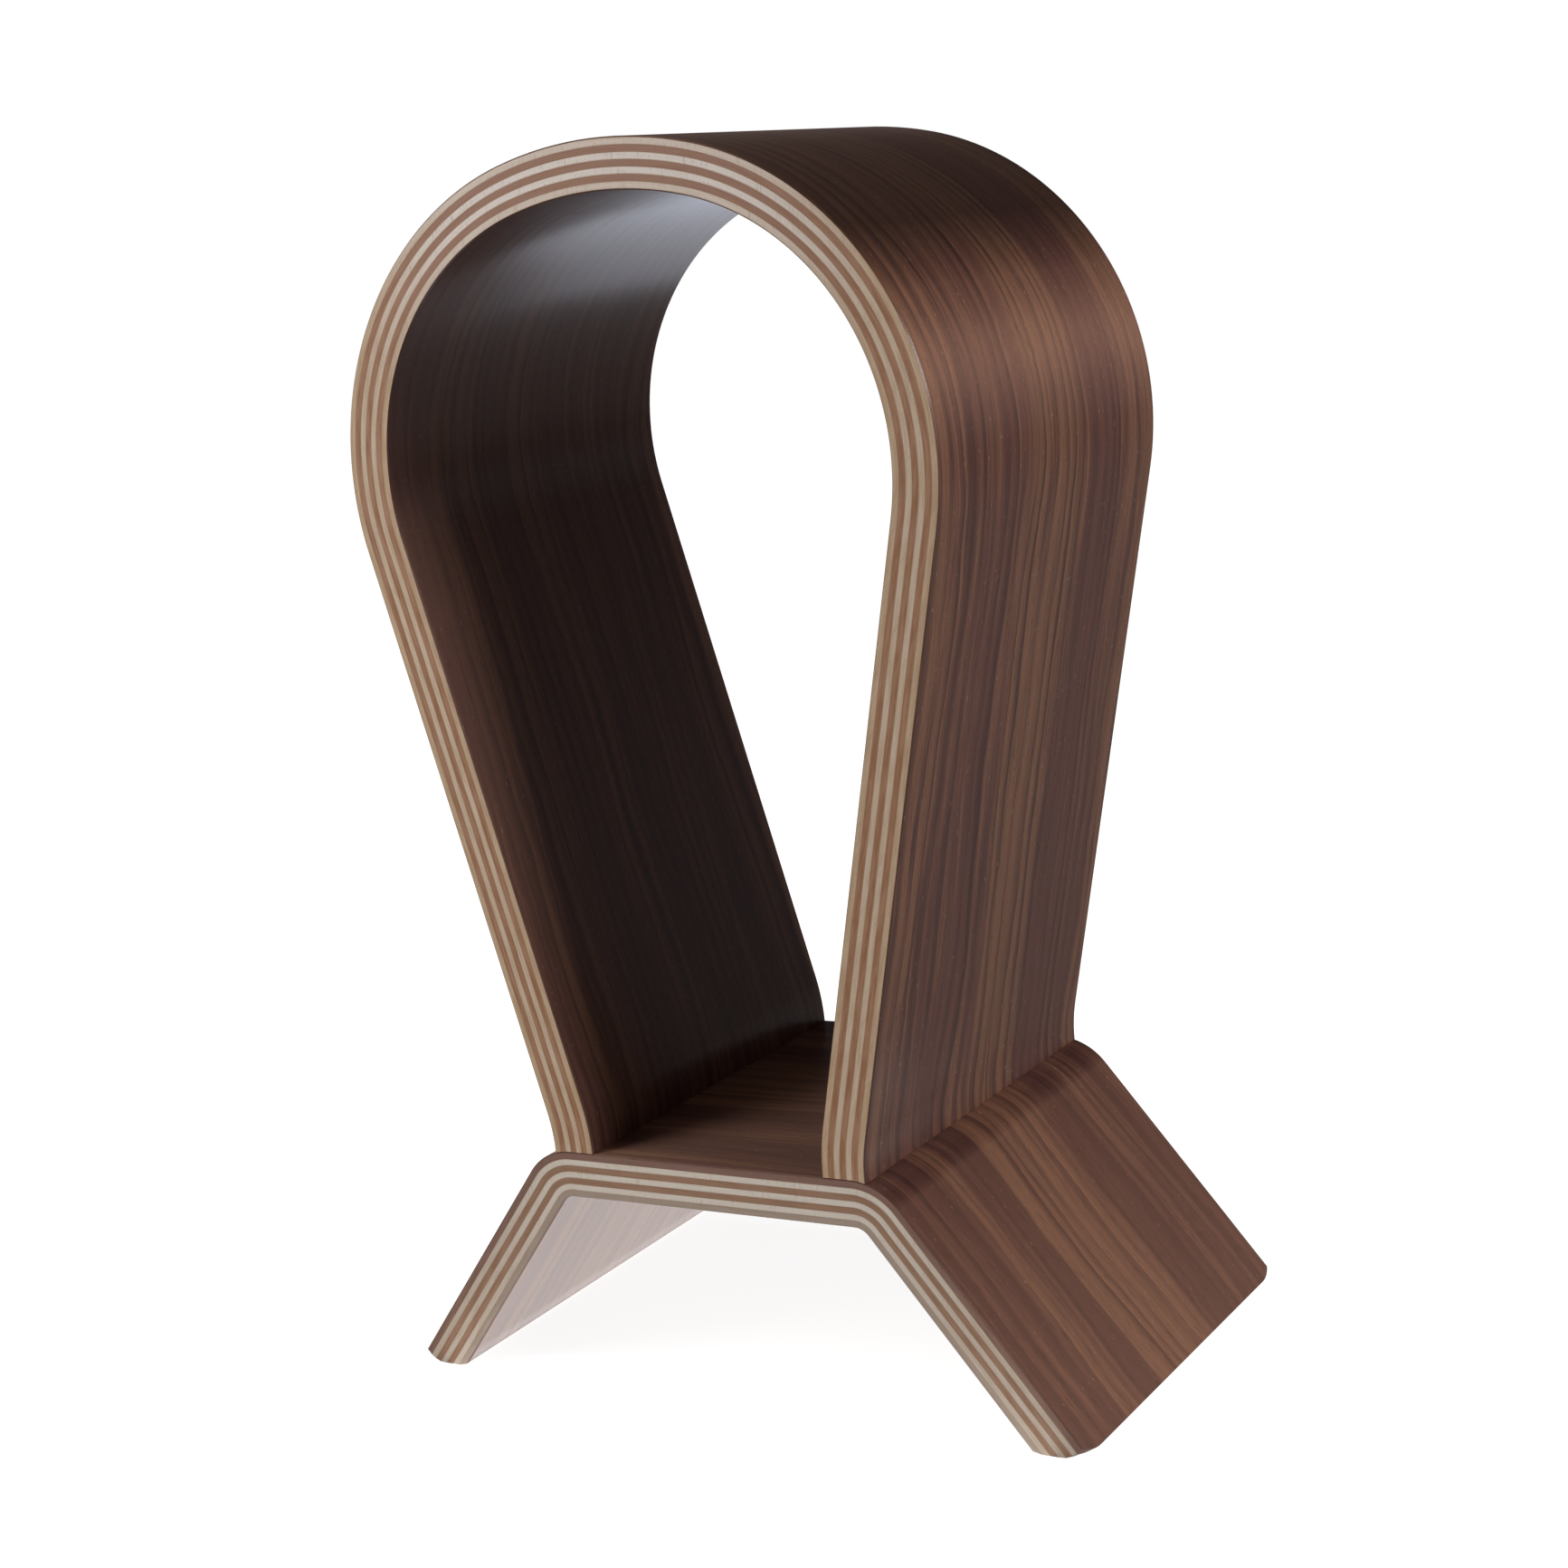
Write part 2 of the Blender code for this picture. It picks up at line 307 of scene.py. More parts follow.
def make_ply_edge_group():
    """Cut edge of a birch ply: cloudy tone, cross ticks of the knife, specks, and glue at its sides."""
    group, given, out = new_group(
        "ply_edge",
        [("Board", "Vector"), ("Wood", "Color"), ("Cloud", "Color"), ("Tick", "Color"), ("Glue", "Color"),
         ("Tick Share", "Float"), ("Streak Share", "Float"), ("Level", "Color"), ("Level Share", "Float")],
        [("Color", "Color"), ("Relief", "Float")])
    along, across, depth = board_millimetres(group, given["Board"])
    place = (along, depth, across)
    clouds = stretched_noise(group, place, EDGE_CLOUDS, detail=4.0, roughness=0.6)
    ticks = stretched_noise(group, place, EDGE_TICKS, detail=3.0, roughness=0.65)
    tick_fields = stretched_noise(group, place, EDGE_TICK_FIELDS)
    specks = stretched_noise(group, place, EDGE_SPECKS)
    streaks = stretched_noise(group, place, EDGE_STREAKS, detail=3.0)

    pitch = (PLY + GLUE_LINE) / MM
    start = (VENEER + GLUE_LINE / 2) / MM
    through = maths(group, "FRACT", maths(group, "DIVIDE", maths(group, "SUBTRACT", depth, start), pitch))
    off_centre = maths(group, "ABSOLUTE", maths(group, "SUBTRACT", through, 0.5))
    wavering = maths(group, "MULTIPLY_ADD", streaks, GLUE_WAVER, off_centre)
    glue_mask = maths(group, "MULTIPLY", soft_step(group, wavering, *GLUE_FADE), GLUE_SHARE)
    # Painted light: the level colour is mixed in near the board's middle, a painted sheen on the pale plies
    # and a painted shade on the darker ones
    from_middle = soft_step(group, maths(group, "ABSOLUTE", along), *PAINTED_LIGHT_FADE)
    near_middle = maths(group, "SUBTRACT", 1.0, from_middle)
    painted_light_mask = maths(group, "MULTIPLY", near_middle, given["Level Share"])
    streak_mask = maths(group, "MULTIPLY", soft_step(group, streaks, *STREAK_FADE), given["Streak Share"])
    tick_mask = soft_step(group, ticks, *TICK_FADE)
    tick_mask = maths(group, "MULTIPLY", tick_mask, soft_step(group, tick_fields, *TICK_FIELD_FADE))
    tick_mask = maths(group, "MULTIPLY", tick_mask, given["Tick Share"])
    speck_mask = maths(group, "MULTIPLY", soft_step(group, specks, *SPECK_FADE), given["Tick Share"])
    speck_mask = maths(group, "MULTIPLY", speck_mask, SPECK_SHARE)

    colour = mixed(group, soft_step(group, clouds, *CLOUD_FADE), given["Wood"], given["Cloud"])
    colour = mixed(group, painted_light_mask, colour, given["Level"])
    for mask in (streak_mask, tick_mask, speck_mask):
        colour = mixed(group, mask, colour, given["Tick"])
    colour = mixed(group, glue_mask, colour, given["Glue"])
    raised = maths(group, "MULTIPLY", clouds, CLOUD_RELIEF)
    relief = maths(group, "SUBTRACT", raised, maths(group, "MULTIPLY", ticks, TICK_RELIEF))
    group.links.new(colour, out["Color"])
    group.links.new(relief, out["Relief"])
    return group


def lacquered_material(name, group, values, lacquer):
    """A wood finish: one grain group in board coordinates under a satin lacquer."""
    material = bpy.data.materials.new(name)
    material.use_nodes = True
    tree = material.node_tree
    shader = tree.nodes["Principled BSDF"]
    board = add_node(tree, "ShaderNodeAttribute", attribute_name="board").outputs["Vector"]
    grain = add_node(tree, "ShaderNodeGroup", node_tree=group)
    tree.links.new(board, grain.inputs["Board"])
    for label, value in values.items():
        grain.inputs[label].default_value = value
    bump = add_node(tree, "ShaderNodeBump", {
        "Height": grain.outputs["Relief"],
        "Strength": lacquer["relief"],
        "Distance": lacquer["relief_depth"],
    })
    tree.links.new(grain.outputs["Color"], shader.inputs["Base Color"])
    tree.links.new(bump.outputs["Normal"], shader.inputs["Normal"])
    if "Roughness" in grain.outputs:
        tree.links.new(grain.outputs["Roughness"], shader.inputs["Roughness"])
    else:
        shader.inputs["Roughness"].default_value = lacquer["roughness"]
    shader.inputs["Specular IOR Level"].default_value = lacquer["specular"]
    if "fibre" in lacquer:
        around = add_node(tree, "ShaderNodeTangent", direction_type="RADIAL", axis="Y")
        tree.links.new(around.outputs["Tangent"], shader.inputs["Tangent"])
        shader.inputs["Anisotropic"].default_value = lacquer["fibre"]
        shader.inputs["Anisotropic Rotation"].default_value = lacquer["fibre_turn"]
        shader.inputs["Specular Tint"].default_value = lacquer["fibre_tint"]
    shader.inputs["Coat Weight"].default_value = lacquer["coat"]
    shader.inputs["Coat Roughness"].default_value = lacquer["coat_roughness"]
    return material


PLY_LACQUER = {
    "roughness": 0.6, "specular": 0.3, "coat": 0.0, "coat_roughness": 0.3,
    "relief": 0.25, "relief_depth": 0.05 * MM,
}
ply_edge_group = make_ply_edge_group()


def birch(name, wood, cloud, tick, glue, level, painted_light_share, ticks, streaks):
    """Edge finish of a core ply; the level colour is painted light on the board's middle, away from its
    ends: a painted sheen on the pale plies and a painted shade on the dark ones.
    """
    colours = {"Wood": wood, "Cloud": cloud, "Tick": tick, "Glue": glue, "Level": level}
    values = {label: (*colour, 1.0) for label, colour in colours.items()}
    values.update({"Tick Share": ticks, "Streak Share": streaks, "Level Share": painted_light_share})
    return lacquered_material(name, ply_edge_group, values, PLY_LACQUER)


def lay_core(core_name, half_line, columns, finishes):
    """The core plies of one moulding, each in its finish and in place of its node in the frame."""
    for n, finish in enumerate(finishes, 1):
        depth = VENEER + GLUE_LINE + (n - 1) * (PLY + GLUE_LINE)
        ply = layer_object(f"{core_name}_{n}_wood", half_line, columns, depth, PLY)
        ply.data.materials.append(finish)
        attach(ply, "root")
        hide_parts(f"{core_name}_{n}")


# Each level colour is painted light: lighter than the wood on the pale plies, a painted sheen, and darker
# on the others, a painted shade
bridge_pale = birch(
    "bridge_pale_birch", wood=(0.51, 0.42, 0.34), cloud=(0.44, 0.35, 0.27), tick=(0.32, 0.23, 0.16),
    glue=(0.34, 0.23, 0.16), level=(0.66, 0.58, 0.50), painted_light_share=0.8, ticks=0.5, streaks=0.15)
bridge_brown = birch(
    "bridge_brown_birch", wood=(0.31, 0.18, 0.115), cloud=(0.24, 0.13, 0.075), tick=(0.19, 0.10, 0.06),
    glue=(0.25, 0.145, 0.09), level=(0.30, 0.17, 0.105), painted_light_share=0.5, ticks=0.3, streaks=0.35)
bridge_smoked = birch(
    "bridge_smoked_birch", wood=(0.23, 0.130, 0.095), cloud=(0.18, 0.095, 0.066), tick=(0.14, 0.072, 0.05),
    glue=(0.20, 0.11, 0.08), level=(0.20, 0.108, 0.082), painted_light_share=0.6, ticks=0.3, streaks=0.35)
bridge_grey = birch(
    "bridge_grey_birch", wood=(0.37, 0.285, 0.23), cloud=(0.31, 0.235, 0.18), tick=(0.24, 0.17, 0.12),
    glue=(0.28, 0.19, 0.13), level=(0.34, 0.26, 0.20), painted_light_share=0.5, ticks=0.4, streaks=0.25)
bridge_finishes = [bridge_smoked] + [bridge_pale, bridge_brown] * 2 + [bridge_pale, bridge_grey]
lay_core("bridge_core_ply", bridge_half, bridge_columns, bridge_finishes)

# Bridge face veneers
# Walnut, sliced so that the grain runs straight along the board, over the top plate and down both legs.
# Glued on in the same pressing, eased along the arrises with the plies, and sealed with satin lacquer.
RED_WALNUT = (0.052, 0.0185, 0.0155)
BROWN_WALNUT = (0.066, 0.025, 0.020)
WARM_WALNUT = (0.118, 0.053, 0.031)
LATEWOOD = (0.028, 0.011, 0.010)
FLECK = (0.42, 0.34, 0.29)
GRAIN_WANDER = 14.0
INNER_FACE = STOCK - VENEER
VENEER_LACQUER = {
    "specular": 0.7, "coat": 0.55, "coat_roughness": 0.22, "relief": 0.45, "relief_depth": 0.05 * MM,
    "fibre": 0.9, "fibre_turn": 0.25, "fibre_tint": (1.0, 0.54, 0.37, 1.0),
}

# Marks of the grain: two lengths in millimetres and one that parts the sheets, then fades and shares
GRAIN_DRIFT = (110.0, 60.0, 0.37)
GRAIN_WAVER = (26.0, 9.0, 0.53)
WAVER_SHARE = 0.18
SWAY_MIDDLE = 0.59
RING_UNEVEN = (16.0, 900.0, 0.71)
UNEVEN_SHARE = 3.2
SHEET_SEED = 13.7
LATE_RISE = (0.25, 0.90)
LATE_FALL = (0.91, 1.0)
LATE_SHADE = (0.6, 0.35)
LATE_BREAKS = (45.0, 1.6, 0.91)
LATE_BREAK_FADE = (0.2, 0.55)
TONE_BANDS = (13.0, 420.0, 0.29)
TONE_BAND_SHARE = 0.55
TONE_STREAKS = (3.0, 80.0, 0.83)
TONE_STREAK_SHARE = 0.45
TONE_FADE = (0.41, 0.60)
MIDDLE_FADE = (4.0, 20.0)
MIDDLE_LIFT = 0.7
SOOT_FADE = (0.28, 0.44)
SOOT_SHARE = 0.5
FIBRE_MARKS = (0.45, 26.0, 0.67)
FIBRE_SHADE = (1.7, 0.16)
FIBRE_ROUGHNESS = (0.3, 0.47)
FIBRE_RELIEF = 0.5
PORE_MARKS = (0.26, 3.6, 0.47)
PORE_FADE = (0.60, 0.70)
PORE_SHARE = 0.42
PORE_ROUGHNESS = 0.16
FLECK_MARKS = (0.30, 1.9, 0.61)
FLECK_FADE = (0.745, 0.79)
FLECK_SHARE = 0.42


def make_walnut_group():
    """Sliced walnut: wandering growth rings with dark latewood, broad tone, fibre, pores and flecks."""
    group, given, out = new_group(
        "walnut_grain",
        [("Board", "Vector"), ("Heartwood", "Color"), ("Warm", "Color"), ("Latewood", "Color"),
         ("Fleck", "Color"), ("Ring Width", "Float"), ("Wander", "Float"), ("Sheet", "Float"),
         ("Warm Middle", "Float")],
        [("Color", "Color"), ("Roughness", "Float"), ("Relief", "Float")])
    along, across, _ = board_millimetres(group, given["Board"])
    sheet = given["Sheet"]
    drift = stretched_noise(group, (along, across, sheet), GRAIN_DRIFT)
    waver = stretched_noise(group, (along, across, sheet), GRAIN_WAVER)
    sway = maths(group, "MULTIPLY_ADD", waver, WAVER_SHARE, drift)
    sway = maths(group, "MULTIPLY", maths(group, "SUBTRACT", sway, SWAY_MIDDLE), given["Wander"])
    straight = maths(group, "ADD", across, sway)
    place = (straight, along, sheet)

    uneven = stretched_noise(group, place, RING_UNEVEN)
    ring = maths(group, "DIVIDE", straight, given["Ring Width"])
    ring = maths(group, "ADD", maths(group, "MULTIPLY_ADD", uneven, UNEVEN_SHARE, ring), sheet)
    phase = maths(group, "FRACT", ring)
    number = maths(group, "FLOOR", ring)
    seed = maths(group, "ADD", maths(group, "MULTIPLY", sheet, SHEET_SEED), number)
    ring_tones = add_node(group, "ShaderNodeTexWhiteNoise", {"W": seed}, noise_dimensions="1D")
    rise = soft_step(group, phase, *LATE_RISE)
    fall = maths(group, "SUBTRACT", 1.0, soft_step(group, phase, *LATE_FALL))
    late = maths(group, "MULTIPLY", rise, fall)
    shaded = maths(group, "MULTIPLY_ADD", ring_tones.outputs["Value"], *LATE_SHADE)
    late = maths(group, "MULTIPLY", late, shaded)
    broken = stretched_noise(group, (along, straight, sheet), LATE_BREAKS, detail=3.0)
    late = maths(group, "MULTIPLY", late, soft_step(group, broken, *LATE_BREAK_FADE))

    bands = stretched_noise(group, place, TONE_BANDS)
    streaks = stretched_noise(group, place, TONE_STREAKS, detail=3.0, roughness=0.6)
    fibre = stretched_noise(group, place, FIBRE_MARKS, detail=4.0, roughness=0.65)
    pores = stretched_noise(group, place, PORE_MARKS, roughness=0.4)
    flecks = stretched_noise(group, place, FLECK_MARKS, detail=1.0, roughness=0.4)
    aside = soft_step(group, maths(group, "ABSOLUTE", straight), *MIDDLE_FADE)
    middle = maths(group, "MULTIPLY", maths(group, "SUBTRACT", MIDDLE_LIFT, aside), given["Warm Middle"])
    tone = maths(group, "MULTIPLY", bands, TONE_BAND_SHARE)
    tone = maths(group, "ADD", maths(group, "MULTIPLY_ADD", streaks, TONE_STREAK_SHARE, tone), middle)
    soot = maths(group, "SUBTRACT", 1.0, soft_step(group, streaks, *SOOT_FADE))
    soot_mask = maths(group, "MULTIPLY", soot, SOOT_SHARE)
    open_pores = soft_step(group, pores, *PORE_FADE)
    pore_mask = maths(group, "MULTIPLY", open_pores, PORE_SHARE)
    fleck_mask = maths(group, "MULTIPLY", soft_step(group, flecks, *FLECK_FADE), FLECK_SHARE)

    colour = mixed(group, soft_step(group, tone, *TONE_FADE), given["Heartwood"], given["Warm"])
    colour = mixed(group, late, colour, given["Latewood"])
    colour = mixed(group, soot_mask, colour, given["Latewood"])
    shade = maths(group, "MULTIPLY_ADD", fibre, *FIBRE_SHADE)
    grey = add_node(group, "ShaderNodeCombineColor", {"Red": shade, "Green": shade, "Blue": shade})
    colour = mixed(group, 1.0, colour, grey.outputs[0], blend="MULTIPLY")
    colour = mixed(group, pore_mask, colour, given["Latewood"])
    colour = mixed(group, fleck_mask, colour, given["Fleck"])
    roughness = maths(group, "MULTIPLY_ADD", fibre, *FIBRE_ROUGHNESS)
    roughness = maths(group, "MULTIPLY_ADD", open_pores, PORE_ROUGHNESS, roughness)
    relief = maths(group, "SUBTRACT", maths(group, "MULTIPLY", fibre, FIBRE_RELIEF), open_pores)
    group.links.new(colour, out["Color"])
    group.links.new(roughness, out["Roughness"])
    group.links.new(relief, out["Relief"])
    return group


walnut_group = make_walnut_group()


def lay_veneer(node, half_line, columns, depth, sheet, ring_width, heartwood, warm_middle=0.0):
    """One walnut face, cut from its own sheet of veneer, in place of its node in the frame."""
    colours = {"Heartwood": heartwood, "Warm": WARM_WALNUT, "Latewood": LATEWOOD, "Fleck": FLECK}
    values = {label: (*colour, 1.0) for label, colour in colours.items()}
    values.update({"Ring Width": ring_width, "Wander": GRAIN_WANDER, "Sheet": sheet})
    values["Warm Middle"] = warm_middle
    veneer = layer_object(node + "_wood", half_line, columns, depth, VENEER)
    veneer.data.materials.append(lacquered_material(node + "_walnut", walnut_group, values, VENEER_LACQUER))
    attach(veneer, "root")
    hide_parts(node)


lay_veneer("bridge_top_veneer", bridge_half, bridge_columns, depth=0.0,
           sheet=3.0, ring_width=5.0, heartwood=RED_WALNUT, warm_middle=0.2)
lay_veneer("bridge_bottom_veneer", bridge_half, bridge_columns, depth=INNER_FACE,
           sheet=11.0, ring_width=6.0, heartwood=BROWN_WALNUT)

# Hoop core plies
# The same stock, light and dark by turns, pressed over a second mould: a round crown, two straight legs
# that lean in, and a short reverse bend that brings each foot upright. The feet are scribed to the bridge.
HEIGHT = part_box("hoop_outer_veneer")[1].z
CROWN_RADIUS = 94.4 * MM
CROWN_HALF_ANGLE = math.radians(14.9)
SHOULDER_RADIUS = 67.6 * MM
FOOT_BEND_RADIUS = 40.0 * MM
FOOT_OVERHANG = 4.1 * MM
FOOT_FACE = BRIDGE_FLAT / 2 + FOOT_OVERHANG
FOOT_BEND_CENTRE = (FOOT_FACE + FOOT_BEND_RADIUS, BRIDGE_HEIGHT)
HOOP_FACET = math.radians(2.0)
HOOP_LEG_PARTS = 8
HOOP_COLUMNS = 4


def shoulder_centre():
    """Centre of the right shoulder, whose arc runs on from the crown's without a kink."""
    inset = CROWN_RADIUS - SHOULDER_RADIUS
    crown_centre = HEIGHT - CROWN_RADIUS
    return inset * math.sin(CROWN_HALF_ANGLE), crown_centre + inset * math.cos(CROWN_HALF_ANGLE)


def hoop_lean():
    """Lean of the hoop's legs: the line that touches the shoulder and the foot's reverse bend."""
    shoulder = shoulder_centre()
    across = FOOT_BEND_CENTRE[0] - shoulder[0]
    down = shoulder[1] - FOOT_BEND_CENTRE[1]
    touching = (SHOULDER_RADIUS + FOOT_BEND_RADIUS) / math.hypot(across, down)
    return math.atan2(down, across) - math.acos(touching)


def scribed_height(x):
    """Height of the bridge's top face under a point of a foot, with the glue line on it."""
    past_flat = max(0.0, x - BRIDGE_FLAT / 2)
    reach = BRIDGE_BEND_RADIUS + GLUE_LINE
    return BRIDGE_HEIGHT - BRIDGE_BEND_RADIUS + math.sqrt(reach ** 2 - past_flat ** 2)


def hoop_half(depth, y):
    """Right half of the hoop at a depth below its outer face, the same all the way across the board."""
    lean = hoop_lean()
    leg_turn = math.pi / 2 + lean
    crown = arc((0.0, HEIGHT - CROWN_RADIUS), CROWN_RADIUS - depth, 0.0, CROWN_HALF_ANGLE, HOOP_FACET)
    shoulder = arc(shoulder_centre(), SHOULDER_RADIUS - depth, CROWN_HALF_ANGLE, leg_turn, HOOP_FACET)
    bend = arc(FOOT_BEND_CENTRE, FOOT_BEND_RADIUS + depth, lean - math.pi / 2, -math.pi / 2, HOOP_FACET)
    leg = [between(shoulder[-1], bend[0], n / HOOP_LEG_PARTS) for n in range(1, HOOP_LEG_PARTS)]
    foot = FOOT_FACE - depth
    seat = (foot, scribed_height(foot))
    return crown + shoulder[1:] + leg + bend[:-1] + [seat]


def hoop_columns(depth):
    """Places across the board, evenly spaced between its eased edges."""
    half = DEPTH / 2 - eased(depth)
    return [half * (2 * n / HOOP_COLUMNS - 1) for n in range(HOOP_COLUMNS + 1)]


# Each level colour is painted light: lighter than the wood on the pale and tan plies, a painted sheen, and
# darker on the brown ones, a painted shade
hoop_pale = birch(
    "hoop_pale_birch", wood=(0.55, 0.42, 0.31), cloud=(0.47, 0.335, 0.225), tick=(0.33, 0.23, 0.16),
    glue=(0.35, 0.22, 0.14), level=(0.76, 0.68, 0.62), painted_light_share=0.85, ticks=0.55, streaks=0.15)
hoop_tan = birch(
    "hoop_tan_birch", wood=(0.50, 0.355, 0.235), cloud=(0.42, 0.275, 0.165), tick=(0.31, 0.20, 0.12),
    glue=(0.33, 0.20, 0.12), level=(0.68, 0.575, 0.495), painted_light_share=0.85, ticks=0.5, streaks=0.2)
hoop_brown = birch(
    "hoop_brown_birch", wood=(0.355, 0.192, 0.112), cloud=(0.265, 0.122, 0.058), tick=(0.20, 0.09, 0.045),
    glue=(0.28, 0.145, 0.08), level=(0.315, 0.170, 0.120), painted_light_share=0.75, ticks=0.3, streaks=0.35)
hoop_finishes = [hoop_tan] + [hoop_brown, hoop_pale] * 2 + [hoop_brown, hoop_tan]
lay_core("hoop_core_ply", hoop_half, hoop_columns, hoop_finishes)

# Hoop face veneers
# Two more sheets of the same walnut, with the grain running round the hoop from foot to foot.
# The outer one is what a headband rests on; the inner one lines the opening.
lay_veneer("hoop_outer_veneer", hoop_half, hoop_columns, depth=0.0,
           sheet=5.0, ring_width=4.8, heartwood=BROWN_WALNUT, warm_middle=0.10)
lay_veneer("hoop_inner_veneer", hoop_half, hoop_columns, depth=INNER_FACE,
           sheet=8.0, ring_width=4.4, heartwood=BROWN_WALNUT)

# Foot screws
# Zinc-plated countersunk wood screws, driven up through the bridge into the hoop's feet, two in each.
# Only their heads show, flush with the underside of the bridge, each with a cross recess.
SCREW_NODES = [f"foot_screw_{side}_{end}" for side in ("left", "right") for end in ("front", "back")]
HEAD_RADIUS = 2.8 * MM
HEAD_RIM = 0.15 * MM
SHANK_RADIUS = 1.05 * MM
HEAD_HEIGHT = HEAD_RADIUS - SHANK_RADIUS + HEAD_RIM
THREAD_RADIUS = 1.5 * MM
THREAD_PITCH = 1.35 * MM
THREAD_SHARE = 0.55
SCREW_LENGTH = 20.0 * MM
SCREW_TIP = 3.0 * MM
SCREW_SIDES = 40
SCREW_STEPS = 140
SCREW_ARRIS_ANGLE = math.radians(35.0)
RECESS_WIDTH = 0.75 * MM
RECESS_REACH = 1.5 * MM
RECESS_DEPTH = 1.3 * MM
RECESS_TAPER = 0.55
ZINC_DULL = (0.52, 0.51, 0.48, 1.0)
ZINC_BRIGHT = (0.70, 0.69, 0.66, 1.0)
ZINC_CLOUDS = 900.0
ZINC_SCUFFS = 4000.0
ZINC_ROUGHNESS = (0.3, 0.18)


def screw_radius(height, turn):
    """Radius of the screw's surface at a height over its head and at a turn, in circles, round its axis."""
    if height < HEAD_RIM:
        return HEAD_RADIUS
    if height < HEAD_HEIGHT:
        return HEAD_RADIUS - (height - HEAD_RIM)
    taper = min(1.0, max(0.0, (SCREW_LENGTH - height) / SCREW_TIP))
    ridge = abs((height / THREAD_PITCH - turn) % 1.0 - 0.5) * 2
    crest = max(0.0, 1.0 - ridge / THREAD_SHARE)
    return taper * (SHANK_RADIUS + (THREAD_RADIUS - SHANK_RADIUS) * crest)


def screw_object(name):
    """A turned head and shank with a helical thread, point upwards."""
    bm = bmesh.new()
    shank = SCREW_LENGTH - HEAD_HEIGHT
    heights = [0.0, HEAD_RIM, HEAD_HEIGHT]
    heights += [HEAD_HEIGHT + shank * n / SCREW_STEPS for n in range(1, SCREW_STEPS)]
    rings = []
    for height in heights:
        ring = []
        for side in range(SCREW_SIDES):
            angle = 2 * math.pi * side / SCREW_SIDES
            radius = screw_radius(height, side / SCREW_SIDES)
            ring.append(bm.verts.new((radius * math.cos(angle), radius * math.sin(angle), height)))
        rings.append(ring)
    for ring, next_ring in zip(rings, rings[1:]):
        for n in range(SCREW_SIDES):
            bm.faces.new((ring[n - 1], ring[n], next_ring[n], next_ring[n - 1]))
    point = bm.verts.new((0.0, 0.0, SCREW_LENGTH))
    for n in range(SCREW_SIDES):
        bm.faces.new((rings[-1][n - 1], rings[-1][n], point))
    bm.faces.new(rings[0])
    bmesh.ops.recalc_face_normals(bm, faces=bm.faces[:])
    mesh = bpy.data.meshes.new(name)
    bm.to_mesh(mesh)
    bm.free()
    screw = bpy.data.objects.new(name, mesh)
    bpy.context.scene.collection.objects.link(screw)
    return screw


def recess_cutter():
    """Cross-shaped point of a screwdriver, narrower as it goes in."""
    half, reach = RECESS_WIDTH / 2, RECESS_REACH
    bm = bmesh.new()
    arm = [(half, half), (half, reach), (-half, reach)]
    corners = arm + [(-y, x) for x, y in arm] + [(-x, -y) for x, y in arm] + [(y, -x) for x, y in arm]
    mouth = [bm.verts.new((x, y, -RECESS_DEPTH)) for x, y in corners]
    tip = [bm.verts.new((x * RECESS_TAPER, y * RECESS_TAPER, RECESS_DEPTH)) for x, y in corners]
    bm.faces.new(mouth)
    bm.faces.new(tip)
    for n in range(len(corners)):
        bm.faces.new((mouth[n - 1], mouth[n], tip[n], tip[n - 1]))
    bmesh.ops.recalc_face_normals(bm, faces=bm.faces[:])
    mesh = bpy.data.meshes.new("recess_cutter")
    bm.to_mesh(mesh)
    bm.free()
    cutter = bpy.data.objects.new("recess_cutter", mesh)
    bpy.context.scene.collection.objects.link(cutter)
    return cutter


def sink_recess(screw, cutter):
    """Cuts the cross recess into the head of a screw."""
    sunk = screw.modifiers.new("recess", "BOOLEAN")
    sunk.operation = "DIFFERENCE"
    sunk.solver = "EXACT"
    sunk.object = cutter
    solid = bpy.data.meshes.new_from_object(screw.evaluated_get(bpy.context.evaluated_depsgraph_get()))
    screw.modifiers.clear()
    screw.data = solid
    solid.shade_smooth()
    solid.set_sharp_from_angle(angle=SCREW_ARRIS_ANGLE)


def make_zinc():
    """Bright zinc plate: cloudy grey, duller in scuffs."""
    material = bpy.data.materials.new("zinc_plate")
    material.use_nodes = True
    tree = material.node_tree
    shader = tree.nodes["Principled BSDF"]
    place = add_node(tree, "ShaderNodeTexCoord").outputs["Object"]
    clouds = add_node(tree, "ShaderNodeTexNoise", {"Vector": place, "Scale": ZINC_CLOUDS, "Detail": 3.0})
    scuffs = add_node(tree, "ShaderNodeTexNoise", {"Vector": place, "Scale": ZINC_SCUFFS, "Detail": 4.0})
    colour = mixed(tree, clouds.outputs["Fac"], ZINC_DULL, ZINC_BRIGHT)
    roughness = maths(tree, "MULTIPLY_ADD", scuffs.outputs["Fac"], *ZINC_ROUGHNESS)
    tree.links.new(colour, shader.inputs["Base Color"])
    tree.links.new(roughness, shader.inputs["Roughness"])
    shader.inputs["Metallic"].default_value = 1.0
    return material


cutter = recess_cutter()
zinc = make_zinc()
for node in SCREW_NODES:
    low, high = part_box(node)
    screw = screw_object(node + "_zinc")
    sink_recess(screw, cutter)
    screw.data.materials.clear()
    screw.data.materials.append(zinc)
    screw.location = ((low.x + high.x) / 2, (low.y + high.y) / 2, low.z)
    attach(screw, "root")
    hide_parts(node)
bpy.data.objects.remove(cutter, do_unlink=True)

# Floor
# A plain white table. It keeps a soft shadow, comes out white where the camera or a mirror sees it, and
# has a light panel let in under the stand, so that only the table near the stand shines back at it.
FLOOR_SIZE = 6.0
FLOOR_DROP = 0.05 * MM
FLOOR_WHITE = (0.32, 0.32, 0.32, 1.0)
FLOOR_ROUGHNESS = 0.9
FLOOR_SEEN = 0.90
FAR_SEEN = 1.0
PANEL_SIZE = 0.16
PANEL_CORE = 0.45 * PANEL_SIZE
WHITE = (1.0, 1.0, 1.0, 1.0)


